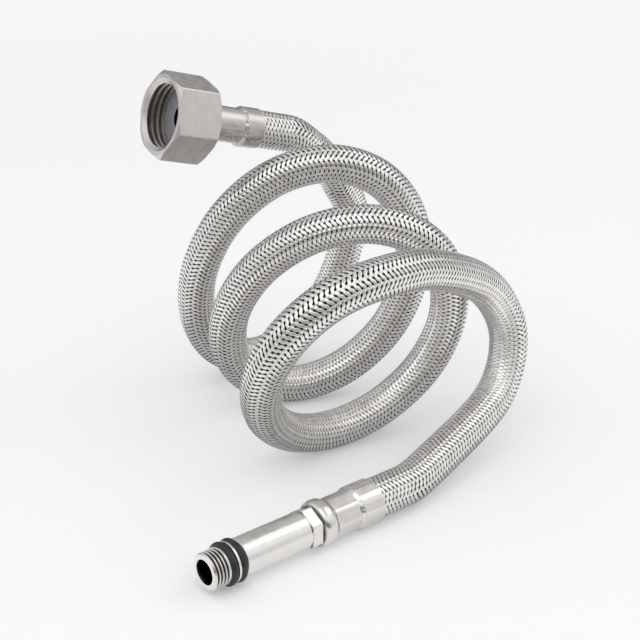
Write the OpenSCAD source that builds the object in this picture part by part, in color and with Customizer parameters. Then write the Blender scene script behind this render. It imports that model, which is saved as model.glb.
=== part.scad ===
// Flexible tap connector: a steel-braided hose in three loose loops, with a swivel nut
// at one end and a long threaded tail at the other. Millimetres, +Z up.
// The origin is the centre of the tail's tip face, and the tail's axis is the X axis.

/* [Hose] */
// Diameter over the braid
hose_d = 11.5; // [10.8:0.1:12]
// Thickness of the braid
braid_t = 0.5; // [0.3:0.1:0.6]
// Diameter of the waterway through the liner
liner_bore_d = 7.6; // [6.6:0.1:7.8]

/* [Ferrules] */
// Wall of each ferrule over its crimped neck
ferrule_t = 0.4; // [0.3:0.1:0.8]
// Wall of each ferrule over its wide mouth
flare_t = 0.3; // [0.2:0.1:0.6]
// How much the crimp takes off the hose's diameter
crimp_squeeze = 1.7; // [1:0.1:1.9]
// Number of flats that the crimping tool leaves at the tail
crimps = 8; // [6:1:12]
// How far the crimped corners stand out from the flats on the neck
neck_corner = 0.25; // [0.1:0.05:0.3]
// How far they stand out on the wide mouth
flare_corner = 0.1; // [0.05:0.05:0.2]
// Thickness of the lip that closes on the stem
lip_t = 0.5; // [0.3:0.1:1]
// Length of the wide mouth at the tail
tail_flare_len = 7; // [4:0.2:10]
// Length of the step between mouth and neck at the tail
tail_step_len = 1; // [0.4:0.1:2]
// Length of the neck at the tail, with its lip
tail_neck_len = 7.9; // [6:0.1:14]
// Diameter of the rolled bead at the tail
bead_d = 12.8; // [12.6:0.1:16]
// Length of the rolled bead
bead_len = 4.7; // [4:0.1:6]
// Radius of the bead's edges
bead_round = 1.8; // [0.5:0.1:1.9]
// Length of the wide mouth at the nut
nut_flare_len = 5.7; // [4:0.1:10]
// Length of the step between mouth and neck at the nut
nut_step_len = 0.8; // [0.4:0.1:2]
// Length of the neck at the nut, with its lip
nut_neck_len = 11.9; // [6:0.1:16]

/* [Stems] */
// Diameter of the waterway through both inserts
water_d = 5.4; // [4:0.1:5.6]
// Depth of the grooves that grip the liner
grip_depth = 0.3; // [0.1:0.05:0.4]
// Distance from one grip groove to the next
grip_pitch = 2.2; // [1.6:0.1:2.4]
// Number of grip grooves
grips = 4; // [2:1:4]
// How far each stem reaches past its neck into the wide mouth
stem_reach = 3; // [1:0.5:4]

/* [Tail] */
// Major diameter of the tail's thread
tail_thread_d = 9.88; // [9.4:0.02:10.6]
// Pitch of the tail's thread
tail_pitch = 1; // [0.75:0.25:1.25]
// Length of the tail's thread
tail_thread_len = 4.7; // [4:0.1:12]
// Bevel at the tip
tip_bevel = 0.4; // [0.2:0.1:0.6]
// Diameter of the waterway's flared mouth at the tip
tip_bore_d = 6.7; // [6:0.1:7]
// Diameter of the tail's smooth body
body_d = 10.2; // [9.8:0.1:11]
// Length of the smooth body
body_len = 20.9; // [8:0.1:40]
// Bevel on the body's end, next to the O-ring
body_bevel = 0.3; // [0.1:0.1:0.6]
// Size across the flats of the tail's small hexagon
tail_hex_af = 10; // [9.6:0.1:11]
// Diameter over the small hexagon's turned corners
tail_hex_d = 11.3; // [11.1:0.1:12]
// Length of the small hexagon
tail_hex_len = 3.6; // [2:0.2:6]
// Thickness of the cord of each O-ring
oring_cord_d = 2.1; // [1.8:0.1:2.4]
// Outside diameter of each O-ring
oring_d = 11.6; // [11.5:0.1:12.2]
// Width of the fin between the O-rings
fin_len = 0.6; // [0.5:0.1:1.5]
// Diameter of the fin
fin_d = 10.8; // [10:0.1:11.4]

/* [Swivel nut] */
// Size across the flats of the nut
nut_af = 23; // [23:0.5:30]
// How much is turned off the nut's corners
nut_corner_cut = 0.15; // [0.1:0.05:0.4]
// Diameter of the nut's flat faces inside their bevels
nut_face_d = 23.7; // [22.6:0.1:24]
// Major diameter of the nut's thread
nut_thread_d = 20.955; // [20.6:0.005:21.1]
// Depth of the nut's thread
nut_thread_depth = 1.162; // [0.9:0.001:1.2]
// Pitch of the nut's thread
nut_pitch = 1.814; // [1.6:0.001:2]
// Length of the nut's thread, with its bevelled mouth
nut_thread_len = 6.7; // [4:0.1:12]
// Diameter of the bevelled mouth
nut_mouth_d = 21.3; // [21.2:0.1:22]
// Depth of the bevelled mouth
nut_mouth_len = 0.9; // [0.4:0.1:1.5]
// Thickness of the nut's back wall
nut_back_t = 2.2; // [1.5:0.1:4]
// How far the nut is turned on its axis
nut_turn = 17; // [0:1:59]
// Free end play of the nut on the flange
nut_play = 0.8; // [0.3:0.1:1]
// Diameter of the shank that the nut turns on
shank_d = 10.3; // [9.6:0.1:10.8]
// Thickness of the flange inside the nut
flange_t = 1.9; // [1.2:0.1:3]
// Gap between nut and ferrule, with the nut pushed back
nut_gap = 0.4; // [0.2:0.1:6]

/* [Washer] */
// Thickness of the flat washer
washer_t = 2; // [1:0.1:3]
// Diameter of the washer's hole
washer_hole_d = 7; // [6:0.1:10]
// Outside diameter of the washer, which passes through the nut's thread
washer_d = 18.5; // [17:0.1:18.6]

/* [Hidden] */
$fa = 4;
$fs = 0.3;

// Clearances
fit_gap = 0.05;     // a piece held fast, and the radial gap at the turning shank
rest_gap = 0.1;     // faces that touch but may part
eps = 0.01;         // a cut runs this far past the face it opens

bevel_angle = 30;   // slope of the bevels that turn a hexagon's corners down
hose_sides = 10;
crimped_d = hose_d - crimp_squeeze;

// Stations along a fitting, from the mouth of its ferrule outwards
tail_neck_z = tail_flare_len + tail_step_len;
nut_neck_z = nut_flare_len + nut_step_len;
bead_z = tail_neck_z + tail_neck_len;
nut_lip_z = nut_neck_z + nut_neck_len;
stem_d = liner_bore_d - 2 * fit_gap;
neck_d = crimped_d + 2 * fit_gap + 2 * ferrule_t;
flare_d = hose_d + 2 * fit_gap + 2 * flare_t;
collar_d = crimped_d - lip_t;

// Tail stations
tail_hex_z = bead_z + bead_len;
body_z = tail_hex_z + tail_hex_len;
groove_len = oring_cord_d + 2 * fit_gap;
rear_groove_z = body_z + body_len;
fin_z = rear_groove_z + groove_len;
front_groove_z = fin_z + fin_len;
tail_thread_z = front_groove_z + groove_len;
tail_len = tail_thread_z + tail_thread_len;
groove_d = oring_d - 2 * oring_cord_d - 2 * fit_gap;

// The tail's thread has flanks at 60 degrees, with an eighth of the pitch left as its crest
tail_crest = tail_pitch / 8;
tail_root = tail_pitch / 4;
tail_thread_depth = (tail_pitch - tail_crest - tail_root) / 2 / tan(30);

// Nut stations
nut_z = nut_lip_z + nut_gap;
flange_z = nut_z + nut_back_t + rest_gap + nut_play;
washer_z = flange_z + flange_t + rest_gap;
recess_top_z = washer_z + washer_t + rest_gap;
nut_top_z = recess_top_z + nut_thread_len;
nut_minor_d = nut_thread_d - 2 * nut_thread_depth;
nut_crest = nut_pitch / 6;
recess_d = nut_thread_d + 2 * fit_gap;
flange_d = nut_minor_d - 2 * rest_gap;

// The hose lies and stands on a level surface, which the tail touches with its widest ring
tail_rest = max(bead_d, flare_d + 2 * flare_corner, oring_d) / 2;
surface_z = -tail_rest;

// Route of the hose from the tail's ferrule to the nut's ferrule, measured from the
// mouth of the tail's ferrule along X and from the standing surface along Z.
// Values at the front, middle and back loop, each at the loop's lowest point
loop_x = [23.5, 36.5, 39];        // middle of the loop
loop_y = [32.5, 62, 85.5];
loop_rise = [29.5, 33, 41];       // half the height of the loop
loop_lean = [[-0.5, 7], [-3, 9.5], [0, 13]];        // how the loop's foot is set off
loop_reach = [[31, -8], [26.5, -16], [30.5, -7]];   // half the width of the loop
coil_start = -180;
coil_end = 810;
coil_step = 30;
tail_lead = [[27, 2.5, 8.5], [57, 9, 16.5], [66, 12.5, 33], [58, 15.5, 49], [31, 10.5, 62]];
nut_lead = [[62, 85.5, 65], [55.5, 85, 72.8], [48.5, 84.5, 78.8]];
nut_mouth = [29, 86, 87];
nut_heading = 173;   // direction of the nut's axis, turned from X towards Y
nut_rise = 15;       // and how far it points up

steel = [0.74, 0.72, 0.70];
bright_steel = [0.84, 0.84, 0.83];
black_rubber = [0.08, 0.08, 0.08];
grey_rubber = [0.50, 0.52, 0.56];
liner_rubber = [0.15, 0.15, 0.16];

// ---- Route -------------------------------------------------------------------------

// Value between the front (s = -1), middle (s = 0) and back (s = 1) loop
function along(v, s) = v[1] + (v[2] - v[0]) / 2 * s + ((v[0] + v[2]) / 2 - v[1]) * s * s;

// Point of the coil, with the angle counted from the front loop's lowest point
function coil_point(angle) =
    let (s = angle / 360 - 1, lean = along(loop_lean, s), reach = along(loop_reach, s))
    [along(loop_x, s) + lean[0] * cos(angle) + reach[0] * sin(angle),
     along(loop_y, s) + lean[1] * cos(angle) + reach[1] * sin(angle),
     hose_d / 2 + along(loop_rise, s) * (1 - cos(angle))];

function unit(v) = v / norm(v);

tail_axis = [1, 0, 0];
nut_axis = [cos(nut_rise) * cos(nut_heading), cos(nut_rise) * sin(nut_heading), sin(nut_rise)];
tail_mouth = [0, 0, tail_rest];
tail_bend = tail_mouth + hose_d * tail_axis;
nut_bend = nut_mouth - hose_d * nut_axis;
coil_points = [for (a = [coil_start : coil_step : coil_end]) coil_point(a)];
knots = concat([tail_bend], tail_lead, coil_points, nut_lead, [nut_bend]);
last = len(knots) - 1;
// A point beyond each end makes the curve leave the straight ends squarely
before = knots[1] - 2 * hose_d * tail_axis;
beyond = knots[last - 1] + 2 * hose_d * nut_axis;
function knot(i) = i < 0 ? before : i > last ? beyond : knots[i];

// Smooth curve through the knots
function curve(i, t) =
    let (a = knot(i - 1), b = knot(i), c = knot(i + 1), d = knot(i + 2))
    ((2 * b) + (c - a) * t + (2 * a - 5 * b + 4 * c - d) * t * t
     + (3 * b - a - 3 * c + d) * t * t * t) / 2;

rings_per_knot = 2;
free_line = concat(
    [for (i = [0 : last - 1], k = [0 : rings_per_knot - 1]) curve(i, k / rings_per_knot)],
    [nut_bend]);

// Stations inside a ferrule, from the hose's cut end to the ferrule's mouth, with 1 where
// the crimp squeezes the hose and 0 where it's free
function held(flare_len, neck_z, lip_z) =
    [[lip_z - lip_t - fit_gap, 1], [neck_z, 1], [flare_len, 0], [0, 0]];

tail_held = held(tail_flare_len, tail_neck_z, bead_z);
nut_held = held(nut_flare_len, nut_neck_z, nut_lip_z);
line = concat([for (h = tail_held) tail_mouth - h[0] * tail_axis], free_line,
              [for (i = [3 : -1 : 0]) nut_mouth + nut_held[i][0] * nut_axis]);
squeeze = concat([for (h = tail_held) h[1]], [for (p = free_line) 0],
                 [for (i = [3 : -1 : 0]) nut_held[i][1]]);
ring_count = len(line);

// Direction of the hose at a ring
function heading(i) = unit(line[min(i + 1, ring_count - 1)] - line[max(i - 1, 0)]);

// The coil's own axis, never in line with the hose, sets how each ring is turned
coil_axis = [0.3, 1, 0];
function ring_side(i) = unit(cross(coil_axis, heading(i)));
function ring_up(i) = cross(heading(i), ring_side(i));
function ring(i, r) = [for (k = [0 : hose_sides - 1])
    let (a = 360 * (k + 0.5) / hose_sides)
    line[i] + r * (cos(a) * ring_side(i) + sin(a) * ring_up(i))];

// Tube between an inner and an outer radius, both given at each ring
module swept_tube(outer, inner) {
    n = hose_sides;
    m = n * ring_count;
    points = concat([for (i = [0 : ring_count - 1]) each ring(i, outer[i])],
                    [for (i = [0 : ring_count - 1]) each ring(i, inner[i])]);
    walls = [for (i = [0 : ring_count - 2], k = [0 : n - 1])
        let (a = i * n + k, b = i * n + (k + 1) % n)
        each [[a, b + n, a + n], [a, b, b + n], [m + a, m + a + n, m + b + n],
              [m + a, m + b + n, m + b]]];
    e = m - n;
    ends = [for (k = [0 : n - 1])
        let (a = k, b = (k + 1) % n)
        each [[a, m + b, b], [a, m + a, m + b], [e + a, e + b, m + e + b],
              [e + a, m + e + b, m + e + a]]];
    translate([tail_len, 0, surface_z]) polyhedron(points, concat(walls, ends));
}

braid_r = [for (q = squeeze) hose_d / 2 - q * crimp_squeeze / 2];
liner_r = [for (r = braid_r) r - braid_t];
bore_r = [for (r = braid_r) liner_bore_d / 2 / cos(180 / hose_sides)];

// Least gap of the hose to itself, and its length
gap_step = 0.25;
fine = [for (i = [0 : last - 1], t = [0 : gap_step : 1 - gap_step]) curve(i, t)];
skip = 14;
least = min([for (i = [0 : len(fine) - skip - 1])
    min([for (j = [i + skip : len(fine) - 1]) norm(fine[i] - fine[j])])]);
echo(least_gap = least - hose_d);
function run(p, i = 1, s = 0) = i == len(p) ? s : run(p, i + 1, s + norm(p[i] - p[i - 1]));
echo(visible_length = run(fine) + 2 * hose_d, whole_length = run(line));

// ---- Shapes that both ends share ---------------------------------------------------

// Places a fitting that is drawn along +Z from the mouth of its ferrule
module at_tail() {
    translate([tail_len, 0, 0]) rotate([0, -90, 0]) children();
}

module at_nut() {
    translate([tail_len, 0, surface_z] + nut_mouth)
        rotate([0, 90 - nut_rise, nut_heading]) children();
}

module rod(d, z0, z1) {
    translate([0, 0, z0]) cylinder(d = d, h = z1 - z0);
}

// Ferrule's bar: round, or with the crimping tool's flats where its corners have a height
module ferrule_bar(d, corner, z0, z1) {
    if (corner > 0) intersection() {
        rod(d + 2 * corner, z0, z1);
        translate([0, 0, z0])
            cylinder(d = d / cos(180 / crimps), h = z1 - z0, $fn = crimps);
    } else rod(d, z0, z1);
}

// Outside of a ferrule: wide mouth, step and crimped neck up to the given height
module ferrule_skin(flare_len, neck_z, top_z, on_flare, on_neck) {
    ferrule_bar(flare_d, on_flare, 0, flare_len);
    translate([0, 0, flare_len - eps]) cylinder(d1 = flare_d, d2 = neck_d, h = neck_z - flare_len);
    ferrule_bar(neck_d, on_neck, flare_len, top_z);
}

// Inside of a ferrule, which the hose fills, with the lip's hole for the stem
module ferrule_hollow(flare_len, neck_z, lip_z) {
    rod(hose_d + 2 * fit_gap, -eps, flare_len);
    translate([0, 0, flare_len - eps])
        cylinder(d1 = hose_d + 2 * fit_gap, d2 = crimped_d + 2 * fit_gap,
                 h = neck_z - flare_len + 2 * eps);
    rod(crimped_d + 2 * fit_gap, neck_z, lip_z - lip_t);
    rod(stem_d + 2 * fit_gap, neck_z, lip_z + eps);
}

// Stem that carries the liner, with grooves that grip it, up to the given height
module stem(neck_z, top_z) {
    foot_z = neck_z - stem_reach;
    rotate_extrude() difference() {
        translate([0, foot_z]) square([stem_d / 2, top_z - foot_z]);
        for (i = [0 : grips - 1])
            translate([stem_d / 2, foot_z + (i + 0.5) * grip_pitch])
                polygon([[eps, 0], [-grip_depth, 0], [eps, grip_pitch * 0.7]]);
    }
}

// Hexagonal bar with its corners turned off, and bevelled at both ends to a face circle
module bevelled_hex(af, corner_d, face_d, z0, z1) {
    drop = (corner_d - face_d) / 2 * tan(bevel_angle);
    intersection() {
        translate([0, 0, z0]) cylinder(d = af / cos(30), h = z1 - z0, $fn = 6);
        rotate_extrude() polygon([
            [0, z0], [face_d / 2, z0], [corner_d / 2, z0 + drop],
            [corner_d / 2, z1 - drop], [face_d / 2, z1], [0, z1]]);
    }
}

// Half section of a thread's grooves, one for each turn, from an inner to an outer radius,
// with its width at each
module thread_grooves(r_in, w_in, r_out, w_out, pitch, z0, turns) {
    for (i = [0 : turns - 1])
        translate([0, z0 + (i + 0.5) * pitch])
            polygon([[r_in, -w_in / 2], [r_out, -w_out / 2], [r_out, w_out / 2],
                     [r_in, w_in / 2]]);
}

// ---- Hose --------------------------------------------------------------------------

module braid_sleeve() {
    color(bright_steel) swept_tube(braid_r, liner_r);
}

module inner_tube() {
    color(liner_rubber) swept_tube(liner_r, bore_r);
}

// ---- Tail --------------------------------------------------------------------------

module tail_ferrule() {
    color(steel) at_tail() difference() {
        union() {
            ferrule_skin(tail_flare_len, tail_neck_z, bead_z + bead_len / 2,
                         flare_corner, neck_corner);
            bead();
        }
        ferrule_hollow(tail_flare_len, tail_neck_z, bead_z);
        // The insert's collar fills the bead
        rod(collar_d + 2 * fit_gap, bead_z, tail_hex_z + eps);
    }
}

// Rolled bead with round edges
module bead() {
    rotate_extrude() {
        translate([0, bead_z]) square([bead_d / 2 - bead_round, bead_len]);
        translate([0, bead_z + bead_round]) square([bead_d / 2, bead_len - 2 * bead_round]);
        for (z = [bead_z + bead_round, tail_hex_z - bead_round])
            translate([bead_d / 2 - bead_round, z]) circle(r = bead_round);
    }
}

module tail_insert() {
    color(bright_steel) at_tail() difference() {
        union() {
            stem(tail_neck_z, bead_z + eps);
            rod(collar_d, bead_z, tail_hex_z + eps);
            bevelled_hex(tail_hex_af, tail_hex_d, (tail_hex_d + body_d) / 2, tail_hex_z, body_z);
            bevelled_bar(body_d, body_bevel, body_z - eps, rear_groove_z);
            rod(groove_d, rear_groove_z - eps, tail_thread_z + eps);
            rod(fin_d, fin_z, front_groove_z);
            threaded_bar();
        }
        rod(water_d, tail_neck_z - stem_reach - eps, tail_len + eps);
        translate([0, 0, tail_thread_z])
            cylinder(d1 = water_d, d2 = tip_bore_d, h = tail_thread_len + eps);
    }
}

// Round bar with a bevel at its top
module bevelled_bar(d, bevel, z0, z1) {
    rod(d, z0, z1 - bevel);
    translate([0, 0, z1 - bevel]) cylinder(d1 = d, d2 = d - 2 * bevel, h = bevel);
}

// The tail's thread, with one ring-shaped groove for each turn
module threaded_bar() {
    crest_r = tail_thread_d / 2;
    over = tail_pitch / 20;
    crests_top = tail_len - tip_bevel;
    turns = floor((tail_thread_len - tip_bevel) / tail_pitch);
    rotate_extrude() difference() {
        polygon([[0, tail_thread_z], [crest_r, tail_thread_z], [crest_r, crests_top],
                 [crest_r - tip_bevel, tail_len], [0, tail_len]]);
        thread_grooves(crest_r - tail_thread_depth, tail_root,
                       crest_r + over, tail_pitch - tail_crest + 2 * over * tan(30),
                       tail_pitch, crests_top - turns * tail_pitch, turns);
    }
}

module o_ring(groove_z) {
    color(black_rubber) at_tail()
        translate([0, 0, groove_z + groove_len / 2]) rotate_extrude()
            translate([(oring_d - oring_cord_d) / 2, 0]) circle(d = oring_cord_d);
}

module o_ring_front() {
    o_ring(front_groove_z);
}

module o_ring_rear() {
    o_ring(rear_groove_z);
}

// ---- Nut end -----------------------------------------------------------------------

module nut_ferrule() {
    color(steel) at_nut() difference() {
        ferrule_skin(nut_flare_len, nut_neck_z, nut_lip_z, 0, 0);
        ferrule_hollow(nut_flare_len, nut_neck_z, nut_lip_z);
    }
}

module nut_insert() {
    color(bright_steel) at_nut() difference() {
        union() {
            stem(nut_neck_z, nut_lip_z + eps);
            rod(shank_d, nut_lip_z, flange_z + eps);
            rod(flange_d, flange_z, flange_z + flange_t);
        }
        rod(water_d, nut_neck_z - stem_reach - eps, flange_z + flange_t + eps);
    }
}

module nut_washer() {
    color(grey_rubber) at_nut() difference() {
        rod(washer_d, washer_z, washer_z + washer_t);
        rod(washer_hole_d, washer_z - eps, washer_z + washer_t + eps);
    }
}

// Hexagon with a hole for the shank, a recess for flange and washer, and a thread with one
// ring-shaped groove for each turn
module swivel_nut() {
    corner_d = nut_af / cos(30) - 2 * nut_corner_cut;
    minor_r = nut_minor_d / 2;
    over = nut_pitch / 20;
    slope = (nut_pitch / 2 - nut_crest) / nut_thread_depth;
    crests_top = nut_top_z - nut_mouth_len;
    turns = floor((crests_top - recess_top_z) / nut_pitch);
    color(steel) at_nut() rotate([0, 0, nut_turn]) difference() {
        bevelled_hex(nut_af, corner_d, nut_face_d, nut_z, nut_top_z);
        rod(shank_d + 2 * fit_gap, nut_z - eps, flange_z);
        rod(recess_d, nut_z + nut_back_t, recess_top_z);
        translate([0, 0, crests_top])
            cylinder(d1 = nut_minor_d, d2 = nut_mouth_d, h = nut_mouth_len + eps);
        rotate_extrude() {
            translate([0, recess_top_z - eps])
                square([minor_r, nut_top_z - recess_top_z + 2 * eps]);
            thread_grooves(minor_r - over, nut_pitch - nut_crest + 2 * over * slope,
                           nut_thread_d / 2, nut_crest, nut_pitch,
                           (recess_top_z + crests_top - turns * nut_pitch) / 2, turns);
        }
    }
}

braid_sleeve();
inner_tube();
tail_ferrule();
tail_insert();
o_ring_front();
o_ring_rear();
nut_ferrule();
nut_insert();
nut_washer();
swivel_nut();
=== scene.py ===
import math

import bpy
import numpy as np
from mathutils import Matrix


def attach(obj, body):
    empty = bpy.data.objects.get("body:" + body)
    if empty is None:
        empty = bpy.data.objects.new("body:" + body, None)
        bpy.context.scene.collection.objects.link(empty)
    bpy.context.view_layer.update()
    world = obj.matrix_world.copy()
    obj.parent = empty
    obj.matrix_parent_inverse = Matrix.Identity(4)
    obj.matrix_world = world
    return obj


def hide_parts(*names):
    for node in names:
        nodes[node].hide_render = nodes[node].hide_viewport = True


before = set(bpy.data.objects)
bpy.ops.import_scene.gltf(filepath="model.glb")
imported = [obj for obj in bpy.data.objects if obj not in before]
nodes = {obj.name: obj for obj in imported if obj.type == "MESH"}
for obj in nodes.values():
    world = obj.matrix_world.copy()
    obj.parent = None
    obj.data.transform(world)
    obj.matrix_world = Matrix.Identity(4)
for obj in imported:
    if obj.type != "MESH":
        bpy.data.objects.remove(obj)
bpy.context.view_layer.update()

# ---- Sizes of the part, in metres ------------------------------------------------------

MM = 0.001
HOSE_D = 11.5 * MM
TAIL_LEN = 54.8 * MM            # from the tip, at the origin, to the mouth of the tail's ferrule
TAIL_REST = 6.4 * MM            # height of the tail's axis over the standing surface
NUT_HEADING = math.radians(173)
NUT_RISE = math.radians(15)
NUT_MOUTH = np.array([29, 86, 87]) * MM
HOSE_IN_FERRULE = 5 * MM        # how far the shown braid reaches into each ferrule

TAIL_AXIS = np.array([1.0, 0.0, 0.0])
NUT_AXIS = np.array([math.cos(NUT_RISE) * math.cos(NUT_HEADING),
                     math.cos(NUT_RISE) * math.sin(NUT_HEADING), math.sin(NUT_RISE)])
# The route is measured from the mouth of the tail's ferrule and from the standing surface
ROUTE_ORIGIN = np.array([TAIL_LEN, 0, -TAIL_REST])

# ---- Camera ----------------------------------------------------------------------------

SENSOR_WIDTH = 36                        # in millimetres, as the lens
CAMERA_AT = (-0.16435, -0.23757, 0.18372)
CAMERA_HEADING = math.radians(49.708)    # direction of view, turned from X towards Y
CAMERA_DIP = math.radians(22.154)        # and how far it points down
CAMERA_LENS = 77.17
CLIP_START = 0.01


def make_camera():
    camera = bpy.data.objects.new("camera", bpy.data.cameras.new("camera"))
    camera.data.sensor_width = SENSOR_WIDTH
    camera.data.lens = CAMERA_LENS
    camera.data.clip_start = CLIP_START
    camera.location = CAMERA_AT
    camera.rotation_euler = (math.pi / 2 - CAMERA_DIP, 0, CAMERA_HEADING - math.pi / 2)
    bpy.context.scene.collection.objects.link(camera)
    bpy.context.scene.camera = camera


make_camera()

# ---- Route of the hose -----------------------------------------------------------------

# Points and loop values in millimetres, as in the part's source
TAIL_LEAD = [[27, 2.5, 8.5], [57, 9, 16.5], [66, 12.5, 33], [58, 15.5, 49], [31, 10.5, 62]]
NUT_LEAD = [[62, 85.5, 65], [55.5, 85, 72.8], [48.5, 84.5, 78.8]]
LOOP_X = [23.5, 36.5, 39]
LOOP_Y = [32.5, 62, 85.5]
LOOP_RISE = [29.5, 33, 41]
LOOP_LEAN = [[-0.5, 7], [-3, 9.5], [0, 13]]
LOOP_REACH = [[31, -8], [26.5, -16], [30.5, -7]]
COIL_ANGLES = range(-180, 811, 30)       # one turn is 360; 0 is the foot of the front loop
SPAN_POINTS = 40                         # points of the curve from one knot to the next


def along(values, s):
    """Value between the front (s = -1), middle (s = 0) and back (s = 1) loop."""
    front, middle, back = (np.array(v, float) for v in values)
    return middle + (back - front) / 2 * s + ((front + back) / 2 - middle) * s * s


def coil_point(angle):
    """Point of the coil, which stands on the surface at every whole turn."""
    s = angle / 360 - 1
    c, t = math.cos(math.radians(angle)), math.sin(math.radians(angle))
    lean, reach = along(LOOP_LEAN, s), along(LOOP_REACH, s)
    return np.array([along(LOOP_X, s) + lean[0] * c + reach[0] * t,
                     along(LOOP_Y, s) + lean[1] * c + reach[1] * t,
                     HOSE_D / MM / 2 + along(LOOP_RISE, s) * (1 - c)]) * MM


def route(step):
    """Centreline of the hose as points a step apart, and the length of hose up to each."""
    tail_mouth = np.array([0, 0, TAIL_REST])
    tail_bend = tail_mouth + HOSE_D * TAIL_AXIS
    nut_bend = NUT_MOUTH - HOSE_D * NUT_AXIS
    knots = np.array([tail_bend, *(np.array(TAIL_LEAD) * MM),
                      *(coil_point(a) for a in COIL_ANGLES),
                      *(np.array(NUT_LEAD) * MM), nut_bend])
    # One more knot beyond each end gives the curve the straight stretch's direction there
    before = knots[1] - 2 * HOSE_D * TAIL_AXIS
    beyond = knots[-2] + 2 * HOSE_D * NUT_AXIS
    p = np.vstack([before, knots, beyond])
    t = np.linspace(0, 1, SPAN_POINTS, endpoint=False)[:, None]
    spans = []
    for a, b, c, d in zip(p[:-3], p[1:-2], p[2:-1], p[3:]):
        spans.append((2 * b + (c - a) * t + (2 * a - 5 * b + 4 * c - d) * t ** 2
                      + (3 * b - a - 3 * c + d) * t ** 3) / 2)
    line = np.vstack([tail_mouth - HOSE_IN_FERRULE * TAIL_AXIS, tail_mouth, *spans, nut_bend,
                      NUT_MOUTH, NUT_MOUTH + HOSE_IN_FERRULE * NUT_AXIS]) + ROUTE_ORIGIN
    run = np.concatenate([[0], np.cumsum(np.linalg.norm(np.diff(line, axis=0), axis=1))])
    at = np.arange(int(run[-1] / step) + 1) * step
    return np.stack([np.interp(at, run, line[:, k]) for k in range(3)], axis=1), at


def carried_frames(line):
    """Two directions square to the line at each of its points, which never twist about it."""
    ahead = np.gradient(line, axis=0)
    ahead /= np.linalg.norm(ahead, axis=1)[:, None]
    side = np.zeros_like(line)
    side[0] = np.cross(ahead[0], [0.0, 0.0, 1.0])
    side[0] /= np.linalg.norm(side[0])
    for i in range(1, len(line)):
        v = side[i - 1] - ahead[i] * (side[i - 1] @ ahead[i])
        side[i] = v / np.linalg.norm(v)
    return side, np.cross(ahead, side)


# ---- Mesh helpers ----------------------------------------------------------------------

def mesh_object(name, points, quads, **layers):
    """Smooth mesh of quads; each layer holds one pair for each corner of each quad."""
    mesh = bpy.data.meshes.new(name)
    mesh.vertices.add(len(points))
    mesh.vertices.foreach_set("co", np.asarray(points, np.float32).ravel())
    mesh.loops.add(quads.size)
    mesh.loops.foreach_set("vertex_index", quads.astype(np.int32).ravel())
    mesh.polygons.add(len(quads))
    mesh.polygons.foreach_set("loop_start", np.arange(len(quads), dtype=np.int32) * 4)
    for layer, pairs in layers.items():
        data = mesh.uv_layers.new(name=layer).data
        data.foreach_set("uv", np.asarray(pairs, np.float32).ravel())
    mesh.update(calc_edges=True)
    mesh.polygons.foreach_set("use_smooth", np.ones(len(quads), bool))
    mesh.validate()
    obj = bpy.data.objects.new(name, mesh)
    bpy.context.scene.collection.objects.link(obj)
    return obj


def lofted(rings):
    """Quads that join rings of points, given as rings x points, each ring closed."""
    count, around = rings.shape[:2]
    i = np.arange(count - 1)[:, None] * around
    k = np.arange(around)[None, :]
    j = (k + 1) % around
    return np.stack([i + k, i + j, i + around + j, i + around + k], axis=-1).reshape(-1, 4)


def end_caps(around, count):
    """Quads that close both ends of a loft whose rings have an even number of points."""
    first = [[k, k - 1, around - k, around - k - 1] for k in range(1, around // 2)]
    offset = (count - 1) * around
    last = [[offset + q for q in reversed(quad)] for quad in first]
    return np.array(first + last)


# ---- Hose: dark liner and woven braid --------------------------------------------------

CARRIERS = 12                # ribbons that wind each way
LEAD = 16.3 * MM             # length of hose in which a ribbon goes round once
CROSSING = LEAD / CARRIERS / 2                           # from one crossing to the next
REPEAT = 4                   # crossings after which over two and under two starts again
SAMPLES = 5                  # rings of a ribbon between two crossings
RIBBON_T = 0.09 * MM         # half the thickness of a ribbon
WEAVE = 0.10 * MM            # how far a ribbon rises and dips as it goes over and under
DIVE = 2.5                   # how steeply it does so: 1 is a plain wave
BRAID_R = HOSE_D / 2 - RIBBON_T - WEAVE
ROUND = 2 * math.pi * BRAID_R
SLANT = math.atan2(ROUND, LEAD)                          # of a ribbon from the hose's axis
RIBBON_W = ROUND / CARRIERS * math.cos(SLANT)            # neighbours just touch
NOTCH = 0.45                 # share of the half width that a ribbon gives up at each hole
HOLE_REACH = 0.3             # and how far along it, as a share of the way between crossings
TONE_SEED = 4
LINER_R = 5.05 * MM
LINER_BORE_R = 3.9 * MM
LINER_SIDES = 32
LINER_STEP = 1 * MM
# Section of a ribbon: share of the half width, share of the half thickness
RIBBON_SECTION = np.array([[-1, 0.5], [-0.7, 0.85], [0, 1], [0.7, 0.85], [1, 0.5], [0, -1]])


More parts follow.
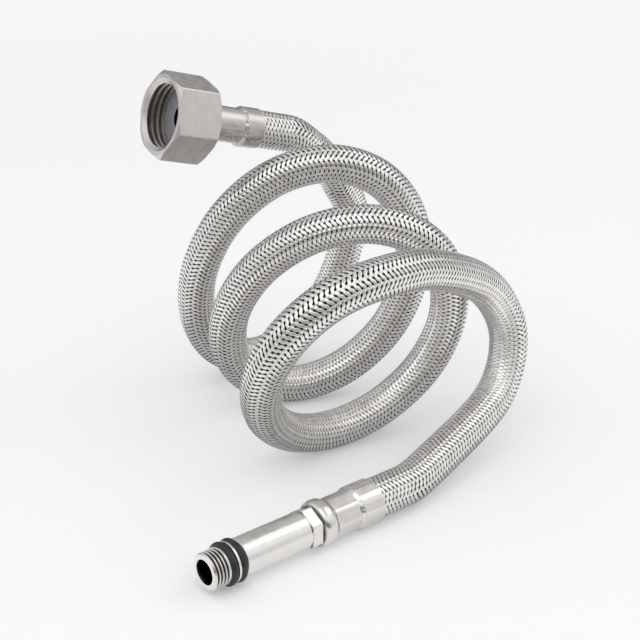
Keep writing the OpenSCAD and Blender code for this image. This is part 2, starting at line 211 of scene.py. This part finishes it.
def make_braid():
    """Ribbons that go over two and under two, as one mesh, with a hole between crossings."""
    line, run = route(CROSSING / SAMPLES)
    side, up = carried_frames(line)
    station = run / CROSSING
    around = len(RIBBON_SECTION)
    quads = np.vstack([lofted(np.zeros((len(line), around, 1))), end_caps(around, len(line))])
    ring, place = np.divmod(quads, around)
    u = (RIBBON_SECTION[:, 0] + 1) / 2
    # The holes on one side of a ribbon lie at this share of the way between crossings, and
    # those on its other side at the rest of it
    hole = round(math.sin(SLANT) ** 2 * SAMPLES) / SAMPLES
    gap = {}
    for edge, place_of_hole in ((1, hole), (-1, 1 - hole)):
        off = np.abs((station - place_of_hole + 0.5) % 1 - 0.5)
        gap[edge] = NOTCH * np.clip(1 - off / HOLE_REACH, 0, 1)
    rng = np.random.default_rng(TONE_SEED)
    all_points, all_quads, all_uvs, all_weaves = [], [], [], []
    for way in (1, -1):
        for number in range(CARRIERS):
            angle = 2 * math.pi * (number / CARRIERS + way * run / LEAD)
            out = np.cos(angle)[:, None] * side + np.sin(angle)[:, None] * up
            swing = way * np.cos(2 * math.pi * (2 * number + way * station - 0.5) / REPEAT)
            lift = np.clip(DIVE * swing, -1, 1)
            centre = line + out * (BRAID_R + WEAVE * lift)[:, None]
            forward = np.gradient(line + out * BRAID_R, axis=0)
            across = np.cross(forward, out)
            across *= (RIBBON_W / 2 / np.linalg.norm(across, axis=1))[:, None]
            width = np.tile(RIBBON_SECTION[:, 0], (len(line), 1))
            for edge in (1, -1):
                at_edge = RIBBON_SECTION[:, 0] * edge > 0.5
                width[:, at_edge] *= 1 - gap[edge * way][:, None]
            points = (centre[:, None, :] + across[:, None, :] * width[:, :, None]
                      + out[:, None, :] * RIBBON_SECTION[None, :, 1:] * RIBBON_T)
            all_quads.append(quads + len(all_points) * len(line) * around)
            all_points.append(points.reshape(-1, 3))
            all_uvs.append(np.stack([u[place], run[ring] / CROSSING], axis=-1).reshape(-1, 2))
            tone = np.full(quads.shape, rng.random())
            # The Weave layer holds the rise, which the material turns into painted shade, and a
            # random tone
            all_weaves.append(np.stack([(lift[ring] + 1) / 2, tone], axis=-1).reshape(-1, 2))
    obj = mesh_object("woven_braid", np.vstack(all_points), np.vstack(all_quads),
                      UVMap=np.vstack(all_uvs), Weave=np.vstack(all_weaves))
    # Flat undersides keep the edges of the upper sides crisp
    upper = np.tile(place.max(axis=1) < around - 1, 2 * CARRIERS)
    obj.data.polygons.foreach_set("use_smooth", upper)
    return obj, line


def make_liner():
    """Tube whose rings go along its outside and come back along its bore."""
    line = route(LINER_STEP)[0]
    side, up = carried_frames(line)
    angle = np.linspace(0, 2 * math.pi, LINER_SIDES, endpoint=False)[None, :, None]
    out = np.cos(angle) * side[:, None] + np.sin(angle) * up[:, None]
    outer = line[:, None, :] + LINER_R * out
    inner = line[:, None, :] + LINER_BORE_R * out
    rings = np.concatenate([outer, inner[::-1], outer[:1]], axis=0)
    return mesh_object("liner_tube", rings.reshape(-1, 3), lofted(rings))


braid, braid_line = make_braid()
liner = make_liner()
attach(braid, "hose")
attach(liner, "hose")
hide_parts("braid_sleeve")
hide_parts("inner_tube")

# ---- Materials -------------------------------------------------------------------------

class Nodes:
    """A node tree, with short calls that add a node and link it."""

    def __init__(self, tree):
        self.tree = tree

    def node(self, kind, inputs=(), **settings):
        n = self.tree.nodes.new(kind)
        for key, value in settings.items():
            setattr(n, key, value)
        for key, value in dict(inputs).items():
            if isinstance(value, bpy.types.NodeSocket):
                self.tree.links.new(value, n.inputs[key])
            else:
                n.inputs[key].default_value = value
        return n

    def place(self):
        return self.node("ShaderNodeTexCoord").outputs["Object"]

    def uv(self, layer, axis):
        pair = self.node("ShaderNodeUVMap", uv_map=layer).outputs["UV"]
        return self.node("ShaderNodeSeparateXYZ", {"Vector": pair}).outputs[axis]

    def noise(self, scale, detail=3.0):
        return self.node("ShaderNodeTexNoise", {"Vector": self.place(), "Scale": scale,
                         "Detail": detail}).outputs["Fac"]

    def math(self, operation, a, b=0.0):
        return self.node("ShaderNodeMath", {0: a, 1: b}, operation=operation).outputs[0]

    def ramp(self, value, start, end, low=0.0, high=1.0):
        """Smooth step of a value between start and end, from low to high."""
        return self.node("ShaderNodeMapRange", {"Value": value, "From Min": start,
                         "From Max": end, "To Min": low, "To Max": high},
                         interpolation_type="SMOOTHSTEP").outputs["Result"]

    def near(self, value, centre, reach):
        """1 at the centre value, falling to 0 at the reach on both sides."""
        off = self.math("ABSOLUTE", self.math("SUBTRACT", value, centre))
        return self.ramp(off, 0.0, reach, 1.0, 0.0)

    def blend(self, value, dark, light):
        """Dark colour where the value is 0, light one where it is 1."""
        mix = self.node("ShaderNodeMix", {"Factor": value}, data_type="RGBA")
        for socket, colour in ((mix.inputs[6], dark), (mix.inputs[7], light)):
            if isinstance(colour, bpy.types.NodeSocket):
                self.tree.links.new(colour, socket)
            else:
                socket.default_value = (*colour, 1)
        return mix.outputs[2]

    def axial(self, origin, axis):
        """Distance along an axis from the origin, distance from it, and turn round it."""
        offset = self.vector("SUBTRACT", self.place(), origin).outputs[0]
        far = self.vector("DOT_PRODUCT", offset, axis).outputs["Value"]
        off = self.vector("CROSS_PRODUCT", offset, axis).outputs[0]
        radius = self.vector("LENGTH", off).outputs["Value"]
        side = np.cross(axis, (0.0, 0.0, 1.0))
        side /= np.linalg.norm(side)
        turn = self.math("ARCTAN2", self.vector("DOT_PRODUCT", off, side).outputs["Value"],
                         self.vector("DOT_PRODUCT", off, np.cross(axis, side)).outputs["Value"])
        return far, radius, turn

    def vector(self, operation, a, b=(0, 0, 0)):
        plain = b if isinstance(b, bpy.types.NodeSocket) else tuple(map(float, b))
        return self.node("ShaderNodeVectorMath", {0: a, 1: plain}, operation=operation)


class Shader(Nodes):
    """A material, with inputs of its Principled BSDF set or linked by name."""

    def __init__(self, name, **values):
        self.material = bpy.data.materials.new(name)
        self.material.use_nodes = True
        super().__init__(self.material.node_tree)
        self.surface = self.tree.nodes["Principled BSDF"]
        self.link(**values)

    def link(self, **inputs):
        for key, value in inputs.items():
            socket = self.surface.inputs[key.replace("_", " ")]
            if isinstance(value, bpy.types.NodeSocket):
                self.tree.links.new(value, socket)
            else:
                socket.default_value = value

    def bump(self, height, distance, under=None):
        inputs = {"Height": height, "Distance": distance}
        if under:
            inputs["Normal"] = under
        normal = self.node("ShaderNodeBump", inputs).outputs["Normal"]
        self.link(Normal=normal)
        return normal


CREVICE_SHADE = (0.045, 0.035, 0.028)            # painted shade in the crevices of seams and thread valleys
BORE_SHADE = (0.006, 0.006, 0.006)             # painted shade inside a hole
SPREAD = (0.3, 0.7)                      # the stretch of a noise that colours run through
FADE = 0.1 * MM                          # how far the edge of a thread's valleys fades
# Stations along the hose's ends, in millimetres from the mouth of each ferrule
TAIL_CRIMP = 7.4
BEAD_FOOT = 15.9
HEXAGON_FOOT = 20.6
BODY_FOOT = 24.2
TAIL_THREAD = (50.1, 54.5)
NUT_CRIMP = 6.1
NUT_THREAD = (25.9, 31.8)
# Scales of noise, in grains for each metre
PATCHES = 350.0
TURNED_LINES = 7000.0
UNEVENNESS = 240.0
FINE_PATCHES = 700.0


def turned_steel(name, origin, axis, dark, light, rough, lines=0.006, grain=0.5, wobble=0.006,
                 seams=(), valley=None, valley_shade=CREVICE_SHADE, bore=None, dents=None):
    """Steel with fine lines round an axis, whose share of the colour is grain. Stations are
    counted along the axis from the origin, and all lengths here are in millimetres.

    lines, wobble: heights of the fine lines and of the slow unevenness in the bump
    seams: rings of painted shade in their crevices, each (station, reach, amount)
    valley: painted shade in a thread's valleys, darker towards the roots, (root radius, crest
    radius, start, end); the next argument gives its colour
    bore: radius below which the steel is painted near black as shade
    dents: ring of crimp marks, (station, reach, count, depth)"""
    m = Shader(name, Metallic=1.0)
    far, radius, turn = m.axial(origin, axis)
    patch = m.noise(PATCHES, 4.0)
    fine = m.node("ShaderNodeTexNoise", {"W": far, "Scale": TURNED_LINES, "Detail": 3.0},
                  noise_dimensions="1D").outputs["Fac"]
    tone = m.math("ADD", m.math("MULTIPLY", patch, 1 - grain), m.math("MULTIPLY", fine, grain))
    colour = m.blend(m.ramp(tone, *SPREAD), dark, light)
    # Painted shade: each seam's crevice is darkened towards a near-black brown
    for station, reach, amount in seams:
        seam_shade = m.math("MULTIPLY", m.near(far, station * MM, reach * MM), amount)
        colour = m.blend(seam_shade, colour, CREVICE_SHADE)
    # Painted shade: a thread's valleys grow darker from the crests to the roots
    if valley:
        root, crest, start, end = (v * MM for v in valley)
        # Steel further behind the roots than this is no thread, such as the nut's outside
        wall = 0.3 * MM * (1 if root > crest else -1)
        inside = m.math("MULTIPLY", m.ramp(far, start - FADE, start),
                        m.ramp(far, end, end + FADE, 1.0, 0.0))
        inside = m.math("MULTIPLY", inside,
                        m.ramp(radius, root + wall / 2, root + wall, 1.0, 0.0))
        depth = m.ramp(radius, crest, root)
        colour = m.blend(m.math("MULTIPLY", depth, inside), colour, valley_shade)
    if bore:
        # Painted shade: inside the bore radius the steel is near black
        colour = m.blend(m.ramp(radius, (bore - 0.15) * MM, bore * MM), BORE_SHADE, colour)
    m.link(Base_Color=colour, Roughness=m.ramp(patch, *SPREAD, *rough))
    normal = m.bump(fine, lines * MM)
    if dents:
        station, reach, count, depth = dents
        # The noise pushes the marks out of their even places
        ripple = m.math("SINE", m.math("ADD", m.math("MULTIPLY", turn, float(count)),
                                       m.math("MULTIPLY", m.noise(FINE_PATCHES), 9.0)))
        ring = m.near(far, station * MM, reach * MM)
        normal = m.bump(m.math("MULTIPLY", ripple, ring), depth * MM, normal)
    m.bump(m.noise(UNEVENNESS, 2.0), wobble * MM, normal)
    return m.material


def braid_wire():
    """Ribbons of parallel wires, with painted shade where they dive under their neighbours and
    in the grooves between the wires.
    """
    wires, wire_height = 5, 0.014 * MM
    dive_from, dive_to = 0.28, 0.03      # shares of the full rise, between which the painted shade fades
    m = Shader("braid_wire", Metallic=1.0)
    across, lift, tone = m.uv("UVMap", "X"), m.uv("Weave", "X"), m.uv("Weave", "Y")
    wave = m.math("ABSOLUTE", m.math("COSINE", m.math("MULTIPLY", across, wires * math.pi)))
    steel = m.blend(tone, (0.86, 0.845, 0.825), (0.99, 0.975, 0.955))
    # Painted shade in the grooves between the wires
    wired = m.blend(m.ramp(wave, 0.0, 0.5), (0.60, 0.58, 0.56), steel)
    # Painted shade, near black, where a ribbon dives under its neighbours
    m.link(Base_Color=m.blend(m.ramp(lift, dive_to, dive_from), (0.05, 0.045, 0.04), wired),
           Roughness=m.ramp(m.noise(900.0), *SPREAD, 0.13, 0.21))
    m.bump(wave, wire_height)
    return m.material


def rubber(name, dark, light, rough, grain, bump=0.02, hole=None):
    """Matt or satin rubber, with a bump in millimetres on the scale of its grain.

    hole: (origin, axis, radius) of a hole through it, whose inside is painted near black as
    shade"""
    m = Shader(name)
    patch = m.noise(FINE_PATCHES, 4.0)
    colour = m.blend(m.ramp(patch, *SPREAD), dark, light)
    if hole:
        origin, axis, radius = hole
        from_axis = m.axial(origin, axis)[1]
        # Painted shade: the inside of the hole is near black
        colour = m.blend(m.ramp(from_axis, radius, radius + 0.1 * MM), BORE_SHADE, colour)
    m.link(Base_Color=colour, Roughness=m.ramp(patch, *SPREAD, *rough))
    m.bump(m.noise(grain), bump * MM)
    return m.material


def put(material, *objects):
    for obj in objects:
        obj.data.materials.clear()
        obj.data.materials.append(material)


tail_at = (TAIL_LEN, 0, 0)
tail_out = -TAIL_AXIS
nut_at = ROUTE_ORIGIN + NUT_MOUTH
washer_hole = (nut_at, NUT_AXIS, 3.5 * MM)
put(braid_wire(), braid)
put(rubber("liner_black", dark=(0.004, 0.004, 0.004), light=(0.012, 0.012, 0.012),
           rough=(0.5, 0.7), grain=4000.0), liner)
put(turned_steel("tail_steel", tail_at, tail_out, dark=(0.74, 0.72, 0.70),
                 light=(0.90, 0.885, 0.865), rough=(0.18, 0.26), lines=0.004, grain=0.6,
                 wobble=0.002, seams=[(HEXAGON_FOOT, 0.6, 0.95), (BODY_FOOT, 0.2, 0.6)],
                 valley=(4.4, 4.94, *TAIL_THREAD), bore=3.35), nodes["tail_insert"])
put(turned_steel("tail_ferrule_steel", tail_at, tail_out, dark=(0.70, 0.68, 0.66),
                 light=(0.86, 0.84, 0.82), rough=(0.14, 0.22), lines=0.002, grain=0.7,
                 wobble=0.004, seams=[(HEXAGON_FOOT, 0.6, 0.95), (BEAD_FOOT, 0.35, 0.7)],
                 dents=(TAIL_CRIMP, 0.7, 17, 0.03)), nodes["tail_ferrule"])
put(turned_steel("nut_ferrule_steel", nut_at, NUT_AXIS, dark=(0.52, 0.50, 0.48),
                 light=(0.68, 0.66, 0.635), rough=(0.18, 0.30), lines=0.003, grain=0.5,
                 wobble=0.006, dents=(NUT_CRIMP, 0.6, 19, 0.10)), nodes["nut_ferrule"])
# Its bore paints the shank's face inside the washer's hole near black, as painted shade
put(turned_steel("shank_steel", nut_at, NUT_AXIS, dark=(0.60, 0.59, 0.57),
                 light=(0.76, 0.75, 0.73), rough=(0.22, 0.32), bore=3.55), nodes["nut_insert"])
# The nut's thread valleys get a brown painted shade
put(turned_steel("nut_steel", nut_at, NUT_AXIS, dark=(0.58, 0.56, 0.535),
                 light=(0.76, 0.735, 0.705), rough=(0.26, 0.38), lines=0.006, grain=0.6,
                 wobble=0.008, valley=(10.5, 9.1, *NUT_THREAD), valley_shade=(0.42, 0.36, 0.29)),
    nodes["swivel_nut"])
put(rubber("o_ring_rubber", dark=(0.010, 0.010, 0.010), light=(0.030, 0.029, 0.028),
           rough=(0.35, 0.5), grain=6000.0), nodes["o_ring_front"], nodes["o_ring_rear"])
put(rubber("washer_rubber", dark=(0.27, 0.27, 0.295), light=(0.36, 0.36, 0.395),
           rough=(0.5, 0.65), grain=5000.0, hole=washer_hole),
    nodes["nut_washer"])

# ---- Stage and light -------------------------------------------------------------------

FLOOR_SIZE = 6
COIL_AT = np.array([0.09, 0.06, 0.03])
# Level direction from the coil towards the camera
TOWARDS = -np.array([math.cos(CAMERA_HEADING), math.sin(CAMERA_HEADING), 0.0])


def make_floor():
    """Pale table that shows white. Reflections see it with painted shade, darker under the coil,
    and as a painted dark reflection in front of it, towards the camera."""
    bpy.ops.mesh.primitive_plane_add(size=FLOOR_SIZE, location=(0, 0, -TAIL_REST))
    floor = bpy.context.object
    floor.name = "floor"
    m = Shader("floor_pale", Roughness=0.6, Specular_IOR_Level=0.1)
    offset = m.vector("SUBTRACT", m.place(), (COIL_AT[0], COIL_AT[1], 0)).outputs[0]
    away = m.vector("LENGTH", offset).outputs["Value"]
    ahead = m.vector("DOT_PRODUCT", offset, TOWARDS).outputs["Value"]
    path = m.node("ShaderNodeLightPath").outputs
    # Painted shade: reflections see the table darker close round the coil
    coil_edge = m.ramp(away, 0.055, 0.09)
    beside = m.blend(coil_edge, (0.30, 0.29, 0.28), (0.86, 0.85, 0.84))
    # Painted reflection: reflections see the table turn dark in front of the coil
    painted_dark_ahead = m.ramp(ahead, 0.10, 0.27)
    painted_reflection = m.blend(painted_dark_ahead, beside, (0.12, 0.11, 0.10))
    glow = m.ramp(away, 0.2, 1.5, 0.23, 0.37)
    shown = m.math("MAXIMUM", path["Is Camera Ray"],
                   m.math("MAXIMUM", path["Is Glossy Ray"], path["Is Transmission Ray"]))
    # Only glossy rays see these painted colours; the camera sees the plain pale table
    m.link(Base_Color=m.blend(path["Is Glossy Ray"], (0.88, 0.885, 0.89), painted_reflection),
           Emission_Color=(0.97, 0.985, 1.0, 1.0),
           Emission_Strength=m.math("MULTIPLY", shown, glow))
    put(m.material, floor)


def make_world():
    """White room, of which mirrors and light see a dimmer front, back and top."""
    seen_white, top_grey = 0.93, 0.62
    world = bpy.data.worlds.new("studio")
    bpy.context.scene.world = world
    world.use_nodes = True
    world.node_tree.nodes.clear()
    w = Nodes(world.node_tree)
    way = w.node("ShaderNodeTexCoord").outputs["Generated"]
    rise = w.node("ShaderNodeSeparateXYZ", {"Vector": way}).outputs["Z"]
    ahead = w.vector("DOT_PRODUCT", way, TOWARDS).outputs["Value"]
    beside = w.ramp(w.math("ABSOLUTE", ahead), 0.2, 1.0, 0.78, 0.16)
    middle = w.ramp(ahead, -0.6, 0.2, 0.60, 1.0)
    low = w.ramp(rise, 0.17, 0.55)
    grey = w.math("ADD", w.math("MULTIPLY", middle, low),
                  w.math("MULTIPLY", beside, w.math("SUBTRACT", 1.0, low)))
    top = w.ramp(rise, 0.72, 0.92)
    grey = w.math("ADD", w.math("MULTIPLY", grey, w.math("SUBTRACT", 1.0, top)),
                  w.math("MULTIPLY", top, top_grey))
    seen = w.node("ShaderNodeLightPath").outputs["Is Camera Ray"]
    strength = w.math("ADD", w.math("MULTIPLY", seen, seen_white),
                      w.math("MULTIPLY", w.math("SUBTRACT", 1.0, seen), grey))
    room = w.node("ShaderNodeBackground", {"Color": (1, 1, 1, 1), "Strength": strength})
    out = w.node("ShaderNodeOutputWorld")
    w.tree.links.new(room.outputs[0], out.inputs["Surface"])


def make_lamp(name, at, size, power):
    """Square soft box that looks at the coil."""
    lamp = bpy.data.objects.new(name, bpy.data.lights.new(name, "AREA"))
    lamp.data.size = size
    lamp.data.energy = power
    lamp.location = at
    aim = COIL_AT - at
    flat = math.hypot(aim[0], aim[1])
    lamp.rotation_euler = (math.pi / 2 + math.atan2(aim[2], flat), 0,
                           math.atan2(aim[1], aim[0]) - math.pi / 2)
    bpy.context.scene.collection.objects.link(lamp)


make_floor()
make_world()
make_lamp("front", at=(-0.356, -0.193, 0.795), size=0.6, power=0.9)
make_lamp("right", at=(0.593, -0.197, 0.719), size=0.5, power=0.5)
bpy.context.scene.view_settings.view_transform = "Standard"
